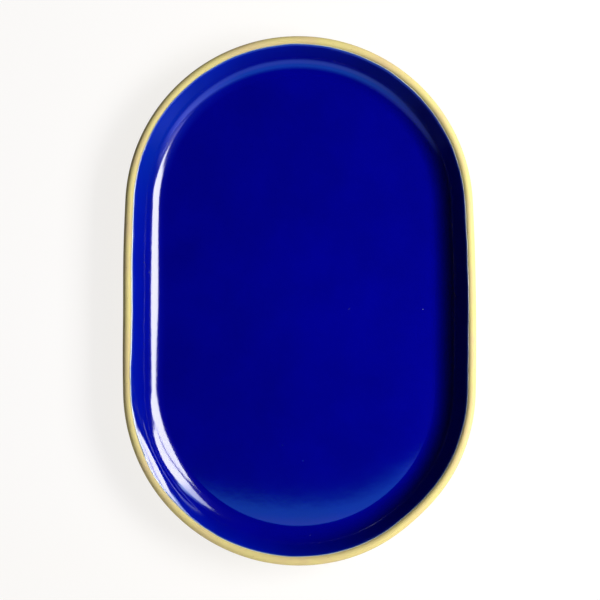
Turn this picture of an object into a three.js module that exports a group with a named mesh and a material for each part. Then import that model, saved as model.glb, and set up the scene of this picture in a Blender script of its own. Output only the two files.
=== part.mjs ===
// Oval serving tray: a fired stoneware body with a coat of glaze fused into its well.
// Millimetres, +Z up, +Y along the tray. The origin is the middle of the plane that the foot stands on.
import * as THREE from 'three';
import { mergeVertices } from 'three/addons/utils/BufferGeometryUtils.js';

// Plan of the outer edge: two round ends joined by long sides that belly out a little
const TRAY_WIDTH = 203;
const TRAY_LENGTH = 305;
const SIDE_BELLY = 1; // half the width, less the radius of a round end

// Clay wall and floor
const TRAY_HEIGHT = 22;
const WALL_THICKNESS = 4.8; // also the width of the fully rounded lip
const WALL_FLARE = THREE.MathUtils.degToRad(32); // lean of the wall from upright, outwards
const FLOOR_THICKNESS = 5;
const WELL_RADIUS = 14; // curve between the wall and the floor, inside
const HEEL_RADIUS = 14; // curve between the wall and the underside, outside

// Foot ring under the floor
const FOOT_HEIGHT = 1.5;
const FOOT_WIDTH = 6; // flat band that the tray stands on
const FOOT_SETBACK = 3; // from the end of the heel to the ring
const FOOT_DRAFT = THREE.MathUtils.degToRad(35); // slope of the ring's flanks from upright

// Glaze in the well
const GLAZE_THICKNESS = 0.8;
const GLAZE_DROP = 0.4; // bare wall left below the lip
const GLAZE_ROLL = 2; // length of wall over which the glaze swells to its full thickness

// Facets along each stretch of the plan and of the section
const END_STEPS = 30;
const SIDE_STEPS = 6;
const LIP_INSIDE_STEPS = 4;
const LIP_OUTSIDE_STEPS = 8;
const WELL_STEPS = 6;
const HEEL_STEPS = 5;
const ROLL_STEPS = 3;

const CLAY = { color: '#dcc78a', roughness: 0.8, metalness: 0 };
const GLAZE = { color: '#070c8c', roughness: 0.08, metalness: 0 };

// Directions in a section, as angles
const STRAIGHT_UP = Math.PI / 2;
const STRAIGHT_DOWN = -Math.PI / 2;

// A section point is a Vector2: x is the inset from the tray's outer edge and y is the height.
const INTO_WELL = new THREE.Vector2(Math.cos(WALL_FLARE), Math.sin(WALL_FLARE));
const DOWN_WALL = new THREE.Vector2(Math.sin(WALL_FLARE), -Math.cos(WALL_FLARE));
const LIP_RADIUS = WALL_THICKNESS / 2;
const LIP_CENTRE = new THREE.Vector2(LIP_RADIUS, TRAY_HEIGHT - LIP_RADIUS);
const FLOOR_LEVEL = FOOT_HEIGHT + FLOOR_THICKNESS;

/** The plan's four arcs, counter-clockwise from the +X side, each tangent to the next. */
function planArcs() {
  const halfWidth = TRAY_WIDTH / 2;
  const endRadius = halfWidth - SIDE_BELLY;
  const endCentre = TRAY_LENGTH / 2 - endRadius;
  // A side arc's centre and both end centres lie so that the side stands SIDE_BELLY past the ends' radius.
  const centreDistance = (endCentre ** 2 + SIDE_BELLY ** 2) / (2 * SIDE_BELLY);
  const sideRadius = endRadius + centreDistance;
  const sideCentre = centreDistance - SIDE_BELLY;
  const meet = Math.atan2(endCentre, sideCentre);
  const side = { y: 0, radius: sideRadius, sweep: 2 * meet, steps: SIDE_STEPS };
  const end = { x: 0, radius: endRadius, sweep: Math.PI - 2 * meet, steps: END_STEPS };
  return [
    { ...side, x: -sideCentre, from: -meet },
    { ...end, y: endCentre, from: meet },
    { ...side, x: sideCentre, from: Math.PI - meet },
    { ...end, y: -endCentre, from: Math.PI + meet },
  ];
}

/** The plan drawn in by a section point's inset, at its height: a closed ring of points. */
function ringAt(sectionPoint, arcs) {
  return arcs.flatMap((arc) => Array.from({ length: arc.steps }, (_, step) => {
    const angle = arc.from + (arc.sweep * step) / arc.steps;
    const radius = arc.radius - sectionPoint.x;
    const x = arc.x + radius * Math.cos(angle);
    const y = arc.y + radius * Math.sin(angle);
    return new THREE.Vector3(x, y, sectionPoint.y);
  }));
}

/** Triangles that face up: bands between the rings of a section, then a flat middle inside the last ring. */
function skin(section, arcs) {
  const rings = section.map((sectionPoint) => ringAt(sectionPoint, arcs));
  const triangles = [];
  rings.forEach((ring, index) => {
    const inner = rings[index + 1];
    const middle = new THREE.Vector3(0, 0, ring[0].z);
    ring.forEach((point, place) => {
      const next = (place + 1) % ring.length;
      if (inner) {
        triangles.push([point, ring[next], inner[next]]);
        triangles.push([point, inner[next], inner[place]]);
      } else {
        triangles.push([point, ring[next], middle]);
      }
    });
  });
  return triangles;
}

/** A closed solid between two skins that start on the same ring. */
function solidBetween(upperSection, lowerSection) {
  const arcs = planArcs();
  const upper = skin(upperSection, arcs);
  const lower = skin(lowerSection, arcs).map(([first, second, third]) => [first, third, second]);
  const points = [...upper, ...lower].flat();
  const geometry = mergeVertices(new THREE.BufferGeometry().setFromPoints(points));
  geometry.computeVertexNormals();
  return geometry;
}

/** Section points on an arc, both ends included. */
function arcPoints(centre, radius, from, to, steps) {
  return Array.from({ length: steps + 1 }, (_, step) => {
    const angle = from + ((to - from) * step) / steps;
    const spoke = new THREE.Vector2(Math.cos(angle), Math.sin(angle));
    return centre.clone().addScaledVector(spoke, radius);
  });
}

/** The arc that turns the wall line through a point into a level plane. */
function wallToLevel(wallPoint, radius, level, steps) {
  const centre = wallPoint.clone().addScaledVector(INTO_WELL, radius);
  const drop = (centre.y - radius - level) / Math.cos(WALL_FLARE);
  centre.addScaledVector(DOWN_WALL, drop);
  return arcPoints(centre, radius, WALL_FLARE - Math.PI, STRAIGHT_DOWN, steps);
}

/** The clay that the glaze covers: from the glaze line down the wall to the edge of the flat floor. */
function glazedClay() {
  const shoulder = LIP_CENTRE.clone().addScaledVector(INTO_WELL, LIP_RADIUS);
  const glazeLine = shoulder.addScaledVector(DOWN_WALL, GLAZE_DROP);
  return [glazeLine, ...wallToLevel(glazeLine, WELL_RADIUS, FLOOR_LEVEL, WELL_STEPS)];
}

/** The foot ring's section, from its outer root down, along the flat band, and up to its inner root. */
function footRing(heelEnd) {
  const flank = FOOT_HEIGHT * Math.tan(FOOT_DRAFT);
  const outerRoot = heelEnd + FOOT_SETBACK;
  const outerEdge = outerRoot + flank;
  const innerEdge = outerEdge + FOOT_WIDTH;
  return [
    new THREE.Vector2(outerRoot, FOOT_HEIGHT),
    new THREE.Vector2(outerEdge, 0),
    new THREE.Vector2(innerEdge, 0),
    new THREE.Vector2(innerEdge + flank, FOOT_HEIGHT),
  ];
}

/** Clay body: lip, flared wall, floor and foot ring, pressed and fired as one piece. */
function stonewareBody() {
  const lipInside = arcPoints(LIP_CENTRE, LIP_RADIUS, STRAIGHT_UP, WALL_FLARE, LIP_INSIDE_STEPS);
  const lipOutside = arcPoints(LIP_CENTRE, LIP_RADIUS, STRAIGHT_UP, WALL_FLARE + Math.PI, LIP_OUTSIDE_STEPS);
  const heel = wallToLevel(lipOutside.at(-1), HEEL_RADIUS, FOOT_HEIGHT, HEEL_STEPS);
  const outside = [...lipOutside, ...heel, ...footRing(heel.at(-1).x)];
  return solidBetween([...lipInside, ...glazedClay()], outside);
}

/** Glaze coat: bonded face to face to the clay of the well, with a rolled edge just below the lip. */
function cobaltGlaze() {
  const underside = glazedClay();
  const glazeLine = underside[0];
  const roll = Array.from({ length: ROLL_STEPS + 1 }, (_, step) => {
    const angle = ((Math.PI / 2) * step) / ROLL_STEPS;
    const along = glazeLine.clone().addScaledVector(DOWN_WALL, GLAZE_ROLL * (1 - Math.cos(angle)));
    return along.addScaledVector(INTO_WELL, GLAZE_THICKNESS * Math.sin(angle));
  });
  const surfaceRadius = WELL_RADIUS - GLAZE_THICKNESS;
  const surfaceLevel = FLOOR_LEVEL + GLAZE_THICKNESS;
  const surface = wallToLevel(roll.at(-1), surfaceRadius, surfaceLevel, WELL_STEPS);
  return solidBetween([...roll, ...surface], underside);
}

/** A named sub-part with a material of its own. */
function subPart(name, geometry, finish) {
  const mesh = new THREE.Mesh(geometry, new THREE.MeshStandardMaterial(finish));
  mesh.name = name;
  return mesh;
}

const tray = new THREE.Group();
tray.add(subPart('stoneware_body', stonewareBody(), CLAY));
tray.add(subPart('cobalt_glaze', cobaltGlaze(), GLAZE));

export default tray;
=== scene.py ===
# %% [markdown]
# # An oval stoneware tray
# The tray is one lump of fired clay with a coat of blue glaze fused into its well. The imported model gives
# both pieces their size and place. This lesson loads it as a frame, works both pieces out again as fine
# surfaces, gives them their finishes and sets up the picture.

# %% Load the frame
import math

import bmesh
import bpy
import numpy as np
from mathutils import Euler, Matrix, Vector


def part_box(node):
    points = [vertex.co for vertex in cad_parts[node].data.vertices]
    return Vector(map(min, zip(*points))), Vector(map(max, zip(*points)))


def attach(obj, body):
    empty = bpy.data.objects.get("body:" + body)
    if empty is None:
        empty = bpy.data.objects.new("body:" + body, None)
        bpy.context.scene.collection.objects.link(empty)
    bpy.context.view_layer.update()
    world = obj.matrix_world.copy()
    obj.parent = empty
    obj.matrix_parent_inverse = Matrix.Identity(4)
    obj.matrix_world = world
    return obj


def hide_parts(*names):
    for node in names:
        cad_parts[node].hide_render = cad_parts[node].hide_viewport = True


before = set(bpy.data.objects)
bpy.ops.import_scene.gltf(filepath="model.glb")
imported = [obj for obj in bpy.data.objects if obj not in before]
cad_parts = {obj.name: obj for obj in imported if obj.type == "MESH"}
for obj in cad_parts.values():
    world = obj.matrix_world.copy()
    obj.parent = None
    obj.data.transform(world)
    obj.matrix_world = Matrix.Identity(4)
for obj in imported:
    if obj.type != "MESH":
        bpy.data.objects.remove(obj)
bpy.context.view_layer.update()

print("nodes in the frame:", sorted(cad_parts))

# %% [markdown]
# ## The plan
# Seen from above, the tray is two round ends joined by long sides that belly out by a millimetre. That
# outline could be a curve object, but four arcs that meet without a corner are easy to write down. They
# give every point of the outer edge, the direction that faces straight out there, and a point on the tray's
# middle line for closing the floor. The overall sizes come from the frame.

# %% Points around the plan
MM = 0.001
SIDE_BELLY = 1.0 * MM
END_STEPS = 220
SIDE_STEPS = 80

# The tray stands on the origin, so its highest corner holds half its width, half its length and its height.
half_width, half_length, tray_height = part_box("stoneware_body")[1]

end_radius = half_width - SIDE_BELLY
end_centre = half_length - end_radius
centre_distance = (end_centre**2 + SIDE_BELLY**2) / (2 * SIDE_BELLY)
side_radius = end_radius + centre_distance
side_centre = centre_distance - SIDE_BELLY
meet_angle = math.atan2(end_centre, side_centre)


def plan_arc(centre, radius, start, end, steps, on_end):
    """One arc: centre + radius * (cos a, sin a). Its middle-line points stay at an end's centre, or run from
    one end's centre to the other's as sin a does."""
    angle = np.linspace(start, end, steps, endpoint=False)
    out = np.stack([np.cos(angle), np.sin(angle)], axis=-1)
    edge = np.array(centre) + radius * out
    along = np.full(steps, np.sign(centre[1])) if on_end else np.sin(angle) / math.sin(meet_angle)
    middle = np.stack([np.zeros(steps), end_centre * along], axis=-1)
    return edge, out, middle


plan_arcs = [
    plan_arc((-side_centre, 0), side_radius, -meet_angle, meet_angle, SIDE_STEPS, False),
    plan_arc((0, end_centre), end_radius, meet_angle, math.pi - meet_angle, END_STEPS, True),
    plan_arc((side_centre, 0), side_radius, math.pi - meet_angle, math.pi + meet_angle, SIDE_STEPS, False),
    plan_arc((0, -end_centre), end_radius, math.pi + meet_angle, 2 * math.pi - meet_angle, END_STEPS, True),
]
plan_edge, plan_out, plan_middle = (np.concatenate(column) for column in zip(*plan_arcs))
around = len(plan_edge)
print(f"plan: {around} points, {2 * half_width / MM:.0f} by {2 * half_length / MM:.0f} mm")

# %% [markdown]
# ## What the hand leaves
# A pressed tray is trimmed and sponged by hand, so its outline and lip are never quite true. Noise would do
# this, but a few soft swells at chosen bearings are easier to steer. Bearing 0 is +X and bearing 90 is +Y.
# Later steps use the same bells for the wall, the floor and the glaze.

# %% Swells by bearing
bearing = np.degrees(np.arctan2(plan_edge[:, 1], plan_edge[:, 0]))


def swell(middle, spread):
    """A bell over the bearing: exp(-(difference / spread) squared), with the difference the short way."""
    difference = (bearing - middle + 180) % 360 - 180
    return np.exp(-((difference / spread) ** 2))


def swells(bells):
    """The sum of several bells, each given as its middle and spread in degrees and its height."""
    return sum(height * swell(middle, spread) for middle, spread, height in bells)


outline_push = MM * swells([
    (298, 10, -1.1), (185, 14, -0.5), (232, 16, 0.2), (330, 14, 0.2), (62, 22, -0.3)])
lip_dip = MM * swells([(20, 30, 0.25), (105, 26, 0.2), (200, 34, 0.3), (285, 24, 0.25)])
print(f"outline is off by {outline_push.min() / MM:.2f} to {outline_push.max() / MM:.2f} mm")
print(f"lip dips by {lip_dip.max() / MM:.2f} mm at most")

# %% [markdown]
# ## The section of the clay
# Cut across, the clay has a fully rounded lip, a wall that flares out, a wide curve into the floor, and a
# low foot ring underneath. A section point is an inset from the outer edge and a height. It could be drawn
# as a curve with Bezier handles, but the sizes of a real tray are radii, angles and thicknesses, so arcs
# and lines keep them exact.

# %% Sizes of the section
WALL_THICKNESS = 4.8 * MM
WALL_FLARE = math.radians(32)
FLOOR_THICKNESS = 5.0 * MM
WELL_RADIUS = 14.0 * MM
HEEL_RADIUS = 14.0 * MM
FOOT_HEIGHT = 1.5 * MM
FOOT_WIDTH = 6.0 * MM
FOOT_SETBACK = 3.0 * MM
FOOT_DRAFT = math.radians(35)
FOOT_EASE = 0.7 * MM

into_well = np.array([math.cos(WALL_FLARE), math.sin(WALL_FLARE)])
down_wall = np.array([math.sin(WALL_FLARE), -math.cos(WALL_FLARE)])
lip_radius = WALL_THICKNESS / 2
lip_centre = np.array([lip_radius, tray_height - lip_radius])
shoulder = lip_centre + lip_radius * into_well
floor_level = FOOT_HEIGHT + FLOOR_THICKNESS


def curve_centre(wall_point, radius, level):
    """The centre of the arc that turns the wall line through a point into a level plane."""
    centre = wall_point + radius * into_well
    return centre + (centre[1] - radius - level) / math.cos(WALL_FLARE) * down_wall


well_centre = curve_centre(shoulder, WELL_RADIUS, floor_level)
wall_length = float((well_centre - shoulder) @ down_wall)
well_reach = wall_length + WELL_RADIUS * (math.pi / 2 - WALL_FLARE)
lip_quarter = lip_radius * (math.pi / 2 - WALL_FLARE)
print(f"inside: {wall_length / MM:.1f} mm of wall, then the curve, {well_reach / MM:.1f} mm in all")

# %% [markdown]
# ## The inside
# The inside is a function of the distance down from the lip, because the glaze has to follow the clay at
# any distance. The wall was left thicker at one place near the -Y end, with a little extra in the curve
# below it, and the edge of the floor was pushed in or out. These forms bend the reflections, so they are
# part of the surface and not a bump in the material.

# %% Local thickness of the wall
SWELL_RISE = 8.9 * MM
SWELL_START = 3.5 * MM
SWELL_FALL = 7.6 * MM
POOL_START = 11.5 * MM
INSIDE_STEPS = 25

shoulder_swell = MM * swells([(228, 12, 2.8)])
pool_swell = MM * swells([(228, 13, 0.62)])


def swelling(reach):
    """Local thickness at a distance down from the lip. The shoulder's rises as a quarter of a sine wave and
    falls as half a cosine wave. The pool in the curve is half a sine wave that ends at the floor's edge."""
    rising = np.sin(np.pi / 2 * np.clip(reach / SWELL_RISE, 0, 1))
    falling = (1 + np.cos(np.pi * np.clip((reach - SWELL_START) / SWELL_FALL, 0, 1))) / 2
    pooled = np.sin(np.pi * np.clip((reach - POOL_START) / (well_reach - POOL_START), 0, 1))
    return shoulder_swell[:, None] * rising * falling + pool_swell[:, None] * pooled


inside_reach = np.tile(np.linspace(well_reach, 0, INSIDE_STEPS), (around, 1))
print(f"wall is up to {swelling(inside_reach).max() / MM:.1f} mm thicker than drawn")

# %% The inside as a function
floor_push = MM * swells([(182, 31.5, 2.8), (0, 42, 0.9), (58, 18, 1.1), (122, 14, -0.7)])


def well_surface(reach, raised):
    """The clay's inside at a distance down from the lip: a straight wall, then an arc of WELL_RADIUS that
    ends level. A negative distance lies on the lip's own curve. raised and the local swelling lift the point
    along the surface's normal. The point is then pushed inwards by floor_push times its share of the way
    down to the floor."""
    lean = np.interp(
        reach, [-lip_quarter, 0, wall_length, well_reach],
        [math.pi / 2, WALL_FLARE, WALL_FLARE, math.pi / 2])
    normal = np.stack([np.cos(lean), np.sin(lean)], axis=-1)
    on_lip = lip_centre + lip_radius * normal
    on_wall = shoulder + reach[..., None] * down_wall
    on_curve = well_centre - WELL_RADIUS * normal
    clay = np.where((reach < wall_length)[..., None], on_wall, on_curve)
    clay = np.where((reach < 0)[..., None], on_lip, clay)
    point = clay + (raised + swelling(reach))[..., None] * normal
    point[..., 0] += floor_push[:, None] * np.clip(reach / well_reach, 0, 1)
    return point


inside = well_surface(inside_reach, np.zeros_like(inside_reach))
floor_inset = inside[:, 0, 0]
print(f"floor's edge: {floor_inset.min() / MM:.1f} to {floor_inset.max() / MM:.1f} mm in from the edge")

# %% [markdown]
# ## The outside
# The outside has nothing to carry, so it is a plain list of section points: over the lip, down the wall,
# round the heel and along the foot ring. A Bevel modifier could ease the ring's corners, but it would ease
# every other edge too, so each corner is rounded here by a short curve.

# %% The outside as points
LIP_STEPS = 26
OUTER_WALL_STEPS = 10
HEEL_STEPS = 18
EASE_STEPS = 6


def arc(centre, radius, start, end, count):
    """Points centre + radius * (cos a, sin a), with a running evenly from start to end."""
    angle = np.linspace(start, end, count)
    return centre + radius * np.stack([np.cos(angle), np.sin(angle)], axis=-1)


def eased(before, corner, after):
    """A corner rounded by a quadratic curve that leaves each side FOOT_EASE before the corner."""
    first, middle, last = np.array(before), np.array(corner), np.array(after)
    start = middle + FOOT_EASE * (first - middle) / np.linalg.norm(first - middle)
    end = middle + FOOT_EASE * (last - middle) / np.linalg.norm(last - middle)
    t = np.linspace(0, 1, EASE_STEPS)[:, None]
    return (1 - t) ** 2 * start + 2 * t * (1 - t) * middle + t**2 * end


lip = arc(lip_centre, lip_radius, WALL_FLARE, WALL_FLARE + math.pi, LIP_STEPS)
heel_centre = curve_centre(lip[-1], HEEL_RADIUS, FOOT_HEIGHT)
heel = arc(heel_centre, HEEL_RADIUS, WALL_FLARE - math.pi, -math.pi / 2, HEEL_STEPS)
outer_wall = np.linspace(lip[-1], heel[0], OUTER_WALL_STEPS)[1:-1]

flank = FOOT_HEIGHT * math.tan(FOOT_DRAFT)
foot_insets = heel_centre[0] + np.cumsum([0, FOOT_SETBACK, flank, FOOT_WIDTH, flank, FOOT_SETBACK])
foot_heights = [FOOT_HEIGHT, FOOT_HEIGHT, 0, 0, FOOT_HEIGHT, FOOT_HEIGHT]
foot_points = list(zip(foot_insets, foot_heights))
foot_corners = range(1, len(foot_points) - 1)
foot = np.vstack([eased(*foot_points[corner - 1:corner + 2]) for corner in foot_corners])
outside = np.vstack([lip, outer_wall, heel, foot])
print(f"outside: {len(outside)} section points, foot band {foot_insets[2] / MM:.1f} mm in from the edge")

# %% [markdown]
# ## From a section to a closed surface
# Every section point is carried round the plan. Where the floor starts, the ring shrinks onto the middle
# line, so the floor closes without a hole and the two sides meet point to point. Merging the doubles there
# makes one watertight skin. The hand's swells are strongest at the lip and die out just above the floor. A
# curve object with a bevel profile would sweep the section too, but it couldn't change the section along
# the way.

# %% Carry a section round the plan
FADE_HEIGHT = 2.0 * MM

fade_level = floor_level + FADE_HEIGHT


def carried(section, share):
    """Grid of points: edge - inset * outward, moved to the middle line by share. Heights come from the
    section. The hand's push and dip fade out towards the floor as 3 r squared - 2 r cubed, with r the share
    of the height from fade_level up to the lip."""
    inset, height = np.broadcast_to(section, (around, *section.shape[-2:])).transpose(2, 0, 1)
    rise = np.clip((height - fade_level) / (tray_height - fade_level), 0, 1)
    fade = rise**2 * (3 - 2 * rise)
    inset = inset - outline_push[:, None] * fade
    ring = plan_edge[:, None, :] - inset[..., None] * plan_out[:, None, :]
    flat = ring + share[None, :, None] * (plan_middle[:, None, :] - ring)
    return np.concatenate([flat, (height - lip_dip[:, None] * fade)[..., None]], axis=-1)


print(f"the hand's swells end {fade_level / MM:.1f} mm above the ground")

# %% Turn a grid into a closed mesh
MERGE_DISTANCE = 0.001 * MM
CENTIMETRE = 10 * MM


def to_mesh(name, grid, attributes):
    """A smooth mesh from a grid that wraps round the plan and ends on the middle line at both ends. A face
    joins two neighbours of one row to the same two of the next row, and points that meet are merged."""
    rows, columns = grid.shape[:2]
    index = np.arange(rows * columns).reshape(rows, columns)
    following = np.roll(index, -1, axis=0)
    corners = [index[:, :-1], index[:, 1:], following[:, 1:], following[:, :-1]]
    faces = np.stack(corners, axis=-1).reshape(-1, 4)
    mesh = bpy.data.meshes.new(name)
    mesh.from_pydata(grid.reshape(-1, 3), [], faces)
    for label, values in attributes.items():
        mesh.attributes.new(label, "FLOAT", "POINT").data.foreach_set("value", values.ravel())
    work = bmesh.new()
    work.from_mesh(mesh)
    bmesh.ops.remove_doubles(work, verts=work.verts, dist=MERGE_DISTANCE)
    open_edges = sum(not edge.is_manifold for edge in work.edges)
    volume = work.calc_volume(signed=True) / CENTIMETRE**3
    work.to_mesh(mesh)
    work.free()
    mesh.polygons.foreach_set("use_smooth", np.ones(len(mesh.polygons), bool))
    piece = bpy.data.objects.new(name, mesh)
    bpy.context.collection.objects.link(piece)
    print(f"{name}: {len(mesh.polygons)} faces, {open_edges} open edges, {volume:.1f} cubic cm")
    return piece


# %% [markdown]
# ## The clay body
# The body was pressed as one lump, so it is one mesh. Its section runs from the middle of the floor up the
# inside, over the lip, down the outside, round the foot ring and back to the middle underneath. The floor
# rises a little inside its edge near the -Y end, where it was left thicker.

# %% Make the clay body
UNDER_RINGS = 9
DOME_POWER = 7

floor_dome = MM * swells([(270, 44, 0.42), (317, 20, 1.0)])


def floor_rings(ring, count, dome):
    """Copies of a section's last ring that shrink onto the middle line as their share grows from 0 to 1,
    closest at the floor's edge. They rise by dome * (1 - (1 - share) to the power DOME_POWER) * (1 - share).
    Returns the rings and their shares."""
    share = np.linspace(0, 1, count) ** 2
    rings = np.repeat(ring, count, axis=1)
    rings[..., 1] += np.reshape(dome, (-1, 1)) * (1 - (1 - share) ** DOME_POWER) * (1 - share)
    return rings, share


outside_all = np.tile(outside, (around, 1, 1))
top_rings, top_share = floor_rings(inside[:, :1], UNDER_RINGS, floor_dome)
under_rings, under_share = floor_rings(outside_all[:, -1:], UNDER_RINGS, 0)
clay_section = np.concatenate(
    [top_rings[:, :0:-1], inside[:, :-1], outside_all, under_rings[:, 1:]], axis=1)
clay_share = np.concatenate([top_share[:0:-1], np.zeros(INSIDE_STEPS - 1 + len(outside)), under_share[1:]])
clay_body = to_mesh("clay_body", carried(clay_section, clay_share), {})

# %% [markdown]
# ## The glaze coat
# The glaze was poured into the well, so it is a skin of even thickness that stops at a slightly wavering
# line near the lip and swells to its full thickness in a rolled edge. A Solidify modifier could thicken a
# copy of the clay, but it couldn't thin the coat out to a line. So the coat is a closed sheet: its surface
# is the clay lifted along its normal, and its underside is the clay itself.

# %% The glaze line and its rolled edge
GLAZE_THICKNESS = 0.8 * MM
GLAZE_DROP = 0.4 * MM
GLAZE_ROLL = 2.0 * MM
WAVER = 0.06 * MM
WAVES_ROUND = (5, 9, 16, 27, 41)
ROLL_STEPS = 14
SURFACE_STEPS = 60

glaze_climb = MM * swells([
    (0, 25, 0.7), (48, 16, -0.4), (296, 16, -0.4), (132, 26, 0.35), (206, 13, 1.0), (232, 10, 0.9)])
roll_swell = MM * swells([(228, 14, 2.5)])
way_round = np.linspace(0, 2 * np.pi, around, endpoint=False)
waver = sum(np.sin(way_round * count + count**2) for count in WAVES_ROUND)
glaze_line = (GLAZE_DROP - glaze_climb + WAVER * waver)[:, None]
roll_length = (GLAZE_ROLL + roll_swell)[:, None]
roll_end = glaze_line + roll_length
roll_turn = np.linspace(0, np.pi / 2, ROLL_STEPS)
roll_reach = glaze_line + roll_length * (1 - np.cos(roll_turn))
below_roll = np.linspace(0, 1, SURFACE_STEPS)[1:]
wall_reach = roll_end + (well_reach - roll_end) * below_roll
glaze_reach = np.concatenate([roll_reach, wall_reach], axis=1)
coat_share = np.concatenate([np.sin(roll_turn), np.ones(SURFACE_STEPS - 1)])
print(f"glaze line: {glaze_line.min() / MM:.1f} to {glaze_line.max() / MM:.1f} mm down from the lip's curve")

# %% Surface and underside of the glaze
FLOOR_RINGS = 24
HIDDEN_SKIP = 4

surface = well_surface(glaze_reach, np.broadcast_to(GLAZE_THICKNESS * coat_share, glaze_reach.shape))
hidden_reach = glaze_reach[:, ::HIDDEN_SKIP]
underside = well_surface(hidden_reach, np.zeros_like(hidden_reach))
surface_rings, surface_share = floor_rings(surface[:, -1:], FLOOR_RINGS, floor_dome)
below_rings, below_share = floor_rings(underside[:, -1:], UNDER_RINGS, floor_dome)
glaze_section = np.concatenate(
    [surface_rings[:, :0:-1], surface[:, ::-1], underside[:, 1:], below_rings[:, 1:]], axis=1)
no_share = np.zeros(surface.shape[1] + underside.shape[1] - 1)
glaze_share = np.concatenate([surface_share[:0:-1], no_share, below_share[1:]])
glaze_grid = carried(glaze_section, glaze_share)
print(f"glaze section: {glaze_grid.shape[1]} points, {underside.shape[1]} of them on the clay's wall")

# %% [markdown]
# ## How deep the glaze's colour is, with its painted shade and highlight
# Thin glaze is pale and thick glaze is dark. Three values are stored at every point for the material: the
# distance from the glaze line, a factor for the colour, and a share of a paler blue patch. The distance is
# divided by a larger width on the -X side, which widens the pale edge there into a painted highlight. The
# factor holds painted shade on the walls towards +X and -Y, which turn away from the light, and lifts the
# middle of the floor a little. A painted image could hold them, but attributes need no unwrapping and
# follow the mesh.

# %% Depth of colour at each point
NARROW_EDGE = 0.5
MIDDLE_LIGHT = 0.10
MIDDLE_REACH = 45.0 * MM

# Painted highlight: the pale edge is twice as wide on the -X side, where the rolled edge faces the light.
edge_and_highlight_width = NARROW_EDGE + swells([(185, 55, 1 - NARROW_EDGE)])
# Painted shade: the glaze is darker on the walls towards +X and -Y, which face away from the light.
painted_wall_shade = swells([(303, 30, 0.60), (0, 38, 0.42)])
# A patch of paler blue on the wall round bearing 130.
pale_patch = swells([(130, 18, 0.34)])


def over_section(on_surface):
    """Values on the glaze's surface, repeated over its floor and underside in the order of glaze_section."""
    at_floor = on_surface[:, -1:]
    return np.concatenate(
        [np.repeat(at_floor, FLOOR_RINGS - 1, axis=1), on_surface[:, ::-1],
         on_surface[:, HIDDEN_SKIP::HIDDEN_SKIP], np.repeat(at_floor, UNDER_RINGS - 1, axis=1)], axis=1)


wall_share = 1 - np.clip((glaze_reach - wall_length) / (well_reach - wall_length), 0, 1)
from_middle = np.linalg.norm(glaze_grid[..., :2], axis=-1)
# The floor's colour is lifted by up to MIDDLE_LIGHT towards its middle.
middle_light = 1 + MIDDLE_LIGHT * np.exp(-((from_middle / MIDDLE_REACH) ** 2))
from_line = (glaze_reach - glaze_line) / MM / edge_and_highlight_width[:, None]
depth_values = {
    "from_glaze_line": over_section(from_line),
    "painted_shade_and_middle_lift": (1 - over_section(painted_wall_shade[:, None] * wall_share)) * middle_light,
    "pale_share": over_section(pale_patch[:, None] * wall_share),
}
glaze_coat = to_mesh("glaze_coat", glaze_grid, depth_values)

# %% [markdown]
# ## Material helpers
# Colours are written as the hex values that a colour picker shows, and one function turns them to the
# linear values that a shader needs. Another adds a node, sets its fields and links its inputs. Nodes could
# be wired in the editor, but code can be read and run again.

# %% Colour and node helpers
def linear(hex_colour):
    """sRGB hex to linear RGBA: c / 12.92 below 0.04045, and ((c + 0.055) / 1.055) to the power 2.4 above."""
    value = np.array([int(hex_colour[place:place + 2], 16) for place in (1, 3, 5)]) / 255
    value = np.where(value <= 0.04045, value / 12.92, ((value + 0.055) / 1.055) ** 2.4)
    return (*value, 1.0)


def add_node(tree, kind, inputs=None, **fields):
    """Adds a node and sets its fields. An input gets a link if its value is a socket, or else the value."""
    node = tree.nodes.new(kind)
    for name, value in fields.items():
        setattr(node, name, value)
    for name, value in (inputs or {}).items():
        if isinstance(value, bpy.types.NodeSocket):
            tree.links.new(value, node.inputs[name])
        else:
            node.inputs[name].default_value = value
    return node


def set_stops(ramp_node, stops):
    """Puts colours on a colour ramp, each given as its place and hex value."""
    elements = ramp_node.color_ramp.elements
    while len(elements) < len(stops):
        elements.new(1.0)
    for element, (place, hex_colour) in zip(elements, stops):
        element.position = place
        element.color = linear(hex_colour)


def new_material(name):
    """An empty node material and its tree."""
    material = bpy.data.materials.new(name)
    material.use_nodes = True
    material.node_tree.nodes.clear()
    return material, material.node_tree


MID_GREY = "#808080"
print(f"mid grey {MID_GREY} is {linear(MID_GREY)[0]:.2f} of full light")

# %% [markdown]
# ## Buff stoneware
# The body is a buff stoneware clay, fired bare: matt, sandy yellow, with a fine grit that the sponge brings
# up, small iron specks, and patches where the clay toasted a little warmer. Matt fired clay has a roughness
# near 0.8. A painted image could show these marks, but noise at their real sizes needs no unwrapping. Only
# the grit is drawn coarser than it is, because a third of a millimetre would be too fine to show.

# %% Colour of the clay
CLAY_STOPS = [(0.40, "#b3a663"), (0.66, "#af9b69")]
CLAY_SPECK = "#8c6c3c"
TOAST_SIZE = 22.0 * MM
SPECK_SPACING = 3.2 * MM
SPECK_EDGE = 0.10  # in shares of the spacing, as the next one
SPECK_CORE = 0.05
SPECK_STRENGTH = 0.7


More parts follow.
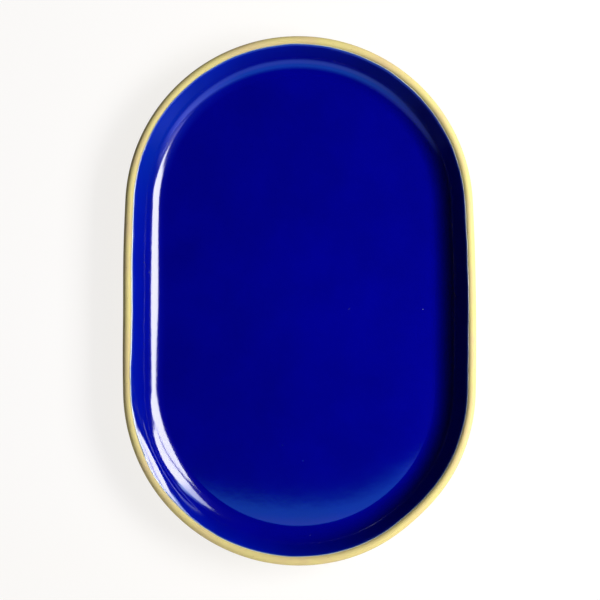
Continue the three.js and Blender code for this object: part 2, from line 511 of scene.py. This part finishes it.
def clay_colour(tree, place):
    """Two clay colours by a soft noise, with specks at the middles of small cells. Returns its socket."""
    toast = add_node(tree, "ShaderNodeTexNoise", {"Vector": place, "Scale": 1 / TOAST_SIZE, "Detail": 3.0})
    patches = add_node(tree, "ShaderNodeValToRGB", {"Fac": toast.outputs["Fac"]})
    set_stops(patches, CLAY_STOPS)
    specks = add_node(tree, "ShaderNodeTexVoronoi", {"Vector": place, "Scale": 1 / SPECK_SPACING})
    is_speck = add_node(
        tree, "ShaderNodeMapRange",
        {"Value": specks.outputs["Distance"], "From Min": SPECK_EDGE, "From Max": SPECK_CORE,
         "To Max": SPECK_STRENGTH})
    colour = add_node(
        tree, "ShaderNodeMix",
        {"Factor": is_speck.outputs["Result"], "A": patches.outputs["Color"], "B": linear(CLAY_SPECK)},
        data_type="RGBA")
    return colour.outputs["Result"]


# %% Surface of the clay
SPONGE_SIZE = 5.0 * MM
SPONGE_DEPTH = 0.15 * MM
GRIT_SIZE = 0.7 * MM
GRIT_DEPTH = 0.06 * MM


def clay_normal(tree, place):
    """Sponge marks, then grit as a bump on them. Returns the last normal's socket."""
    sponge = add_node(tree, "ShaderNodeTexNoise", {"Vector": place, "Scale": 1 / SPONGE_SIZE, "Detail": 2.0})
    soft = add_node(
        tree, "ShaderNodeBump", {"Height": sponge.outputs["Fac"], "Distance": SPONGE_DEPTH, "Strength": 1.0})
    grit = add_node(tree, "ShaderNodeTexNoise", {"Vector": place, "Scale": 1 / GRIT_SIZE, "Detail": 2.0})
    rough = add_node(
        tree, "ShaderNodeBump",
        {"Height": grit.outputs["Fac"], "Distance": GRIT_DEPTH, "Strength": 1.0,
         "Normal": soft.outputs["Normal"]})
    return rough.outputs["Normal"]


# %% Buff stoneware material
def buff_stoneware():
    """A matt dielectric with the clay's colour and normal."""
    material, tree = new_material("buff_stoneware")
    place = add_node(tree, "ShaderNodeTexCoord").outputs["Object"]
    shader = add_node(
        tree, "ShaderNodeBsdfPrincipled",
        {"Base Color": clay_colour(tree, place), "Roughness": 0.8, "IOR": 1.5,
         "Normal": clay_normal(tree, place)})
    add_node(tree, "ShaderNodeOutputMaterial", {"Surface": shader.outputs["BSDF"]})
    return material


clay_body.data.materials.append(buff_stoneware())
print("clay body is", clay_body.data.materials[0].name)

# %% [markdown]
# ## Cobalt glaze
# The glaze is a glassy coat tinted with cobalt, poured and fired to a gloss. Its depth of colour follows
# its thickness: pale where it ends at the clay, a lighter blue just below, royal blue on the wall and
# ultramarine on the floor, where it pooled. The pale edge is partly the real pale break of the glaze over
# the clay and partly a painted highlight on the -X side, where the rolled edge faces the light. The walls
# towards +X and -Y carry painted shade. Glaze has an index of refraction near 1.5 and a low roughness.
# Its surface has a faint orange peel, a finer grain and a few pinholes. A ramp over the stored distance
# gives the colour, and three bumps in a chain give the surface.

# %% Colour of the glaze
# The first two stops make the pale edge: partly the glaze's real break over the clay, partly a painted
# highlight.
GLAZE_STOPS = [
    (0.0, "#c9cdc6"), (0.008, "#8ea0b4"), (0.022, "#12369a"), (0.05, "#000f94"), (0.35, "#00088c"),
    (0.8, "#000086")]
RAMP_REACH = 30.0  # millimetres from the glaze line to the ramp's end
PALE_BLUE = "#0a3aa8"
MOTTLE_SIZE = 26.0 * MM
MOTTLE_DARK = 0.8
MOTTLE_LIGHT = 1.2


def glaze_colour(tree, place):
    """The ramp's colour, mixed with a paler blue, times painted shade and a mottle. Returns its socket."""
    distance = add_node(tree, "ShaderNodeAttribute", attribute_name="from_glaze_line").outputs["Fac"]
    share = add_node(tree, "ShaderNodeMapRange", {"Value": distance, "From Max": RAMP_REACH})
    depth = add_node(tree, "ShaderNodeValToRGB", {"Fac": share.outputs["Result"]})
    set_stops(depth, GLAZE_STOPS)
    pale_part = add_node(tree, "ShaderNodeAttribute", attribute_name="pale_share").outputs["Fac"]
    blue = add_node(
        tree, "ShaderNodeMix", {"Factor": pale_part, "A": depth.outputs["Color"], "B": linear(PALE_BLUE)},
        data_type="RGBA")
    mottle = add_node(tree, "ShaderNodeTexNoise", {"Vector": place, "Scale": 1 / MOTTLE_SIZE, "Detail": 3.0})
    mottled = add_node(
        tree, "ShaderNodeMapRange",
        {"Value": mottle.outputs["Fac"], "To Min": MOTTLE_DARK, "To Max": MOTTLE_LIGHT})
    # This factor is painted shade on the +X and -Y walls, with a small lift in the floor's middle.
    shade = add_node(tree, "ShaderNodeAttribute", attribute_name="painted_shade_and_middle_lift").outputs["Fac"]
    shaded = add_node(tree, "ShaderNodeMath", {0: shade, 1: mottled.outputs["Result"]}, operation="MULTIPLY")
    colour = add_node(
        tree, "ShaderNodeVectorMath", {0: blue.outputs["Result"], "Scale": shaded.outputs["Value"]},
        operation="SCALE")
    return colour.outputs["Vector"]


# %% Surface of the glaze
PEEL_SIZE = 9.0 * MM
PEEL_DEPTH = 0.03 * MM
GRAIN_SIZE = 2.4 * MM
GRAIN_DEPTH = 0.012 * MM
PINHOLE_SPACING = 13.0 * MM
PINHOLE_FLOOR = 0.02  # in shares of the spacing, as the next one
PINHOLE_RIM = 0.035
PINHOLE_DEPTH = 0.06 * MM


def glaze_normal(tree, place):
    """Orange peel, then grain, then pinholes, each a bump on the one before. Returns the last socket."""
    peel = add_node(tree, "ShaderNodeTexNoise", {"Vector": place, "Scale": 1 / PEEL_SIZE, "Detail": 2.0})
    peel_bump = add_node(
        tree, "ShaderNodeBump", {"Height": peel.outputs["Fac"], "Distance": PEEL_DEPTH, "Strength": 1.0})
    grain = add_node(tree, "ShaderNodeTexNoise", {"Vector": place, "Scale": 1 / GRAIN_SIZE, "Detail": 2.0})
    grain_bump = add_node(
        tree, "ShaderNodeBump",
        {"Height": grain.outputs["Fac"], "Distance": GRAIN_DEPTH, "Strength": 1.0,
         "Normal": peel_bump.outputs["Normal"]})
    pinholes = add_node(tree, "ShaderNodeTexVoronoi", {"Vector": place, "Scale": 1 / PINHOLE_SPACING})
    pit = add_node(
        tree, "ShaderNodeMapRange",
        {"Value": pinholes.outputs["Distance"], "From Min": PINHOLE_FLOOR, "From Max": PINHOLE_RIM})
    pit_bump = add_node(
        tree, "ShaderNodeBump",
        {"Height": pit.outputs["Result"], "Distance": PINHOLE_DEPTH, "Normal": grain_bump.outputs["Normal"]})
    return pit_bump.outputs["Normal"]


# %% Cobalt glaze material
def cobalt_glaze():
    """A glossy dielectric with the glaze's colour and normal."""
    material, tree = new_material("cobalt_glaze")
    place = add_node(tree, "ShaderNodeTexCoord").outputs["Object"]
    shader = add_node(
        tree, "ShaderNodeBsdfPrincipled",
        {"Base Color": glaze_colour(tree, place), "Roughness": 0.10, "IOR": 1.52,
         "Normal": glaze_normal(tree, place)})
    add_node(tree, "ShaderNodeOutputMaterial", {"Surface": shader.outputs["BSDF"]})
    return material


glaze_coat.data.materials.append(cobalt_glaze())
print("glaze coat is", glaze_coat.data.materials[0].name)

# %% [markdown]
# ## Fix both pieces to the frame
# Nothing on a tray moves, so both pieces ride on the one body, an empty that is an ordinary parent, and
# each takes the place of its own node, which is hidden.

# %% Ride on the body and hide the replaced node
for piece, node_name, slot_name in [(clay_body, "stoneware_body", "buff_stoneware"),
                                    (glaze_coat, "cobalt_glaze", "cobalt_glaze")]:
    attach(piece, "root")
    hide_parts(node_name)
    print(f"{piece.name} rides on root and stands for {node_name}")

# %% [markdown]
# ## The studio
# The tray lies on a plain pale floor that fills the view. More light could whiten a grey floor, but it
# would bleach the clay too. So the floor glows by itself, which keeps the tray's shadow as faint as on a
# sheet of lit white paper. The world is pale to the camera and dark in reflections, which keeps the glaze
# deep.

# %% Floor
FLOOR_REACH = 20.0
PAPER_GREY = "#6c6c6c"
PAPER_GLOW = "#fffdfa"
PAPER_STRENGTH = 0.84


def white_paper():
    """Matt paper that adds a glow of its own to the light that falls on it."""
    material, tree = new_material("white_paper")
    shader = add_node(
        tree, "ShaderNodeBsdfPrincipled",
        {"Base Color": linear(PAPER_GREY), "Roughness": 0.9, "Emission Color": linear(PAPER_GLOW),
         "Emission Strength": PAPER_STRENGTH})
    add_node(tree, "ShaderNodeOutputMaterial", {"Surface": shader.outputs["BSDF"]})
    return material


def studio_floor():
    """One square of paper under the tray, FLOOR_REACH from its middle to each side."""
    mesh = bpy.data.meshes.new("studio_floor")
    corners = FLOOR_REACH * np.array([(-1, -1, 0), (1, -1, 0), (1, 1, 0), (-1, 1, 0)])
    mesh.from_pydata(corners, [], [(0, 1, 2, 3)])
    mesh.materials.append(white_paper())
    floor = bpy.data.objects.new("studio_floor", mesh)
    bpy.context.collection.objects.link(floor)


studio_floor()
print(f"floor reaches {FLOOR_REACH:.0f} m each way")

# %% World
PALE_GROUND = "#eeeeec"
WHITE = "#ffffff"
FILL_STRENGTH = 0.02
MIRRORED_STRENGTH = 0.01


def studio_world():
    """Three backgrounds: one for the camera, one for reflections and one for the light on matt surfaces."""
    world = bpy.data.worlds.new("studio_world")
    world.use_nodes = True
    tree = world.node_tree
    tree.nodes.clear()
    ray = add_node(tree, "ShaderNodeLightPath")
    fill = add_node(tree, "ShaderNodeBackground", {"Color": linear(WHITE), "Strength": FILL_STRENGTH})
    dark = add_node(tree, "ShaderNodeBackground", {"Color": linear(WHITE), "Strength": MIRRORED_STRENGTH})
    pale = add_node(tree, "ShaderNodeBackground", {"Color": linear(PALE_GROUND), "Strength": 1.0})
    unseen = add_node(
        tree, "ShaderNodeMixShader",
        {"Fac": ray.outputs["Is Glossy Ray"], 1: fill.outputs["Background"], 2: dark.outputs["Background"]})
    shown = add_node(
        tree, "ShaderNodeMixShader",
        {"Fac": ray.outputs["Is Camera Ray"], 1: unseen.outputs["Shader"], 2: pale.outputs["Background"]})
    add_node(tree, "ShaderNodeOutputWorld", {"Surface": shown.outputs["Shader"]})
    bpy.context.scene.world = world


studio_world()
bpy.context.scene.view_settings.view_transform = "Standard"
print("world:", bpy.context.scene.world.name)

# %% [markdown]
# ## Light
# A large soft light on the +X side models the clay and the colour of the glaze. Two smaller lamps add what
# a pale room throws back onto the bare clay. Light linking keeps those two off the glaze, whose dark colour
# they would lift. The glaze mirrors none of the three, because its reflections are set apart in the next
# steps.

# %% Lamps
def direction(azimuth, polar):
    """Unit vectors from an azimuth and an angle from straight up, both in degrees."""
    turn, tip = np.radians(azimuth), np.radians(polar)
    return np.stack([np.cos(turn) * np.sin(tip), np.sin(turn) * np.sin(tip), np.cos(tip)], axis=-1)


def soft_light(name, azimuth, polar, distance, across, tall, radiance):
    """A rectangle that faces the tray, with angles in degrees and sizes in metres. Its power is
    radiance * pi * area. The glaze doesn't mirror it."""
    towards = Vector(direction(azimuth, polar))
    light = bpy.data.lights.new(name, "AREA")
    light.shape = "RECTANGLE"
    light.size, light.size_y = across, tall
    light.energy = radiance * math.pi * across * tall
    lamp = bpy.data.objects.new(name, light)
    lamp.location = towards * distance
    lamp.rotation_euler = towards.to_track_quat("Z", "Y").to_euler()
    lamp.visible_camera = False
    lamp.visible_glossy = False
    bpy.context.collection.objects.link(lamp)
    return lamp


soft_light("key_light", azimuth=0, polar=49, distance=0.9, across=0.6, tall=0.3, radiance=23.4)
clay_lamps = [
    soft_light("clay_fill", azimuth=10, polar=38, distance=0.2, across=0.4, tall=0.1, radiance=3.6),
    soft_light("end_bounce", azimuth=262, polar=75, distance=0.3, across=0.5, tall=0.1, radiance=2.6)]
lit_by_fill = bpy.data.collections.new("lit_by_fill")
lit_by_fill.objects.link(clay_body)
for lamp in clay_lamps:
    lamp.light_linking.receiver_collection = lit_by_fill
print("lamps on the clay alone:", [lamp.name for lamp in clay_lamps])

# %% [markdown]
# ## What the glaze mirrors
# A glossy coat shows what stands round it more than the lamps that light it, so a photographer sets white
# cards. Here they are glowing ribbons far round the tray, seen only in reflections. Each is drawn by the
# directions that it fills, as an azimuth round the tray and an angle from straight up. Area lights could do
# this too, but their edges are straight, and a ribbon can taper and fade along its length.

# %% Glowing cards
def glow(name):
    """An emitting material whose light is the mesh's own radiance attribute."""
    material, tree = new_material(name)
    radiance = add_node(tree, "ShaderNodeAttribute", attribute_name="radiance").outputs["Color"]
    emission = add_node(tree, "ShaderNodeEmission", {"Color": radiance})
    add_node(tree, "ShaderNodeOutputMaterial", {"Surface": emission.outputs["Emission"]})
    return material


def lay_card(name, grid, radiance):
    """A glowing sheet through a grid of points, with the radiance at each, that only reflections show."""
    index = np.arange(grid[..., 0].size).reshape(grid.shape[:2])
    corners = [index[:-1, :-1], index[1:, :-1], index[1:, 1:], index[:-1, 1:]]
    mesh = bpy.data.meshes.new(name)
    mesh.from_pydata(grid.reshape(-1, 3), [], np.stack(corners, axis=-1).reshape(-1, 4))
    colours = np.broadcast_to(radiance, (*grid.shape[:2], 4))
    mesh.attributes.new("radiance", "FLOAT_COLOR", "POINT").data.foreach_set("color", colours.ravel())
    mesh.materials.append(glow(name))
    card = bpy.data.objects.new(name, mesh)
    card.visible_camera = False
    card.visible_diffuse = False
    card.visible_shadow = False
    bpy.context.collection.objects.link(card)
    print(f"card {name}: {len(mesh.polygons)} faces")


# %% Ribbons round the tray
RIBBON_DISTANCE = 5.0
RIBBON_STEPS = 40
PANE_GLOW = 20


def ribbon(name, stations):
    """A strip of sphere between two angles from straight up that change along the azimuth. A station is an
    azimuth, both angles, the strength at each of them and a colour. Values in between are interpolated."""
    numbers = np.array([[*station[:5], *linear(station[5])] for station in stations])
    fine = np.linspace(numbers[0, 0], numbers[-1, 0], RIBBON_STEPS)
    columns = np.stack([np.interp(fine, numbers[:, 0], column) for column in numbers.T], axis=-1)
    start, end, start_glow, end_glow = columns[:, 1:5, None].transpose(1, 0, 2)
    share = np.linspace(0, 1, RIBBON_STEPS)
    grid = RIBBON_DISTANCE * direction(fine[:, None], start + (end - start) * share)
    strength = start_glow + (end_glow - start_glow) * share
    radiance = strength[..., None] * columns[:, None, 5:]
    lay_card(name, grid, radiance)


def even(azimuth, start, end, strength=PANE_GLOW, colour=WHITE):
    """A station that is as strong at one angle as at the other."""
    return azimuth, start, end, strength, strength, colour


ribbon("window_pane", [
    even(-12, 39, 41, 8), even(-9, 38, 43, 16), even(-5, 37, 46), even(0, 35.5, 49), even(6, 28.5, 56.5),
    even(12, 25.5, 55), even(15, 26, 50.5), even(21, 28.5, 45.6), even(28, 29.5, 41.6), even(33, 28.7, 37.5),
    even(37.5, 28.5, 29.5)])
ribbon("lower_pane", [
    even(16, 51, 52), even(17.5, 49, 63.5), even(21, 47.2, 63.5), even(28, 43.6, 63.5), even(33, 41.3, 63),
    even(36, 39.5, 63), even(40, 42, 63, 14, "#ecf2ff"), even(46, 45, 63, 11, "#e6eeff"),
    even(52, 50, 57, 8, "#e6eeff")])
ribbon("window_ledge", [
    (36, 63, 64, 0, 0, "#c8e8ff"), (39, 63, 74, 14, 8, "#c8e8ff"), (43, 63, 74, 5, 3, "#a0ccff"),
    (50, 60, 70, 1, 0.5, "#6a98ff")])
ribbon("window_sill", [
    (-48, 38, 70, 0, 0, "#a8a4ff"), (-36, 38, 74, 3.6, 2.5, "#a8b4ff"), (-24, 38, 76, 4.5, 4.5, "#a8b4ff"),
    (-16, 36, 72, 5, 2, "#b2adff"), (-11, 46, 72, 4, 2, "#b2b8ff"), (-4, 52, 68, 0, 0, "#b2b8ff")])

# %% [markdown]
# ## The card at the end
# One more card stands upright close to the -Y end. The curve at the +Y end mirrors it as a pale band, and
# the floor near the -Y end mirrors it as a soft veil. That would take two ribbons far away, and one card
# near the tray serves both. It is a flat grid, and its light changes with the height and from column to
# column.

# %% Upright card past the -Y end
CARD_PLACE = -158.0 * MM
LOW_PART = 200.0 * MM
CARD_HEIGHTS = np.array([0.02, 0.06, 0.10, 0.13, 0.18, 0.25, 0.31, 0.38, 0.48, 0.64])
LEFT_GLOW = np.array([0.0, 0.1, 0.3, 0.8, 1.7, 2.0, 2.2, 2.2, 1.4, 0.1])
MIDDLE_GLOW = np.array([0.1, 0.3, 2.2, 3.0, 3.0, 2.8, 3.0, 2.0, 0.7, 0.1])
RIGHT_GLOW = np.array([0.0, 0.1, 0.3, 1.5, 4.2, 5.2, 6.0, 6.0, 1.5, 0.0])
CORNER_GLOW = np.array([0.0, 0.0, 0.0, 0.3, 1.2, 1.5, 2.0, 3.0, 3.5, 0.5])
NO_GLOW = np.zeros_like(CARD_HEIGHTS)
LEFT_BLUE = "#6a84ff"
LOW_BLUE = "#6a98ff"
HIGH_BLUE = "#3d98ff"
RIGHT_BLUE = "#8796ff"
CARD_COLUMNS = [
    (-0.9, NO_GLOW, LEFT_BLUE, LEFT_BLUE), (-0.34, LEFT_GLOW, LEFT_BLUE, LEFT_BLUE),
    (-0.12, MIDDLE_GLOW, LOW_BLUE, HIGH_BLUE), (0.12, MIDDLE_GLOW, LOW_BLUE, HIGH_BLUE),
    (0.34, RIGHT_GLOW, RIGHT_BLUE, RIGHT_BLUE), (0.7, CORNER_GLOW, RIGHT_BLUE, RIGHT_BLUE),
    (1.1, NO_GLOW, RIGHT_BLUE, RIGHT_BLUE)]


def end_card():
    """A column is its place along X, its strengths by height, and its colours in the low part and above."""
    across = [column[0] for column in CARD_COLUMNS]
    grid = np.stack(np.meshgrid(across, [CARD_PLACE], CARD_HEIGHTS, indexing="ij"), axis=-1)[:, 0]
    is_low = (CARD_HEIGHTS < LOW_PART)[:, None]
    radiance = np.stack([strength[:, None] * np.where(is_low, linear(low), linear(high))
                         for _, strength, low, high in CARD_COLUMNS])
    lay_card("end_card", grid, radiance)


end_card()

# %% [markdown]
# ## Camera
# The picture looks almost straight down into the well. The camera could be aimed with a Track To
# constraint, but its few degrees of tilt, yaw and roll are easier to match as angles. It swings by them
# about a point level with the lip, and a small shift puts the tray in its place in the picture. The lens
# follows from the camera's distance and from how much of the tray one pixel spans.

# %% Camera
CAMERA_DISTANCE = 0.700
CAMERA_TILT = math.radians(-5.0)
CAMERA_YAW = math.radians(1.0)
CAMERA_ROLL = math.radians(-0.05)
CAMERA_SHIFT = Vector((-0.21, 2.59, 0)) * MM
METRES_PER_PIXEL = 0.572 * MM
IMAGE_PIXELS = 600
SENSOR_WIDTH = 36.0  # in millimetres, as the lens is

camera_data = bpy.data.cameras.new("camera")
camera_data.sensor_width = SENSOR_WIDTH
camera_data.lens = SENSOR_WIDTH * CAMERA_DISTANCE / METRES_PER_PIXEL / IMAGE_PIXELS
camera = bpy.data.objects.new("camera", camera_data)
camera.rotation_mode = "ZYX"
camera.rotation_euler = Euler((-CAMERA_TILT, -CAMERA_YAW, -CAMERA_ROLL), "ZYX")
turned = camera.rotation_euler.to_matrix()
camera.location = turned @ (Vector((0, 0, CAMERA_DISTANCE)) - CAMERA_SHIFT) + Vector((0, 0, tray_height))
bpy.context.collection.objects.link(camera)
bpy.context.scene.camera = camera
print(f"camera at {tuple(round(value, 3) for value in camera.location)}, lens {camera_data.lens:.1f} mm")
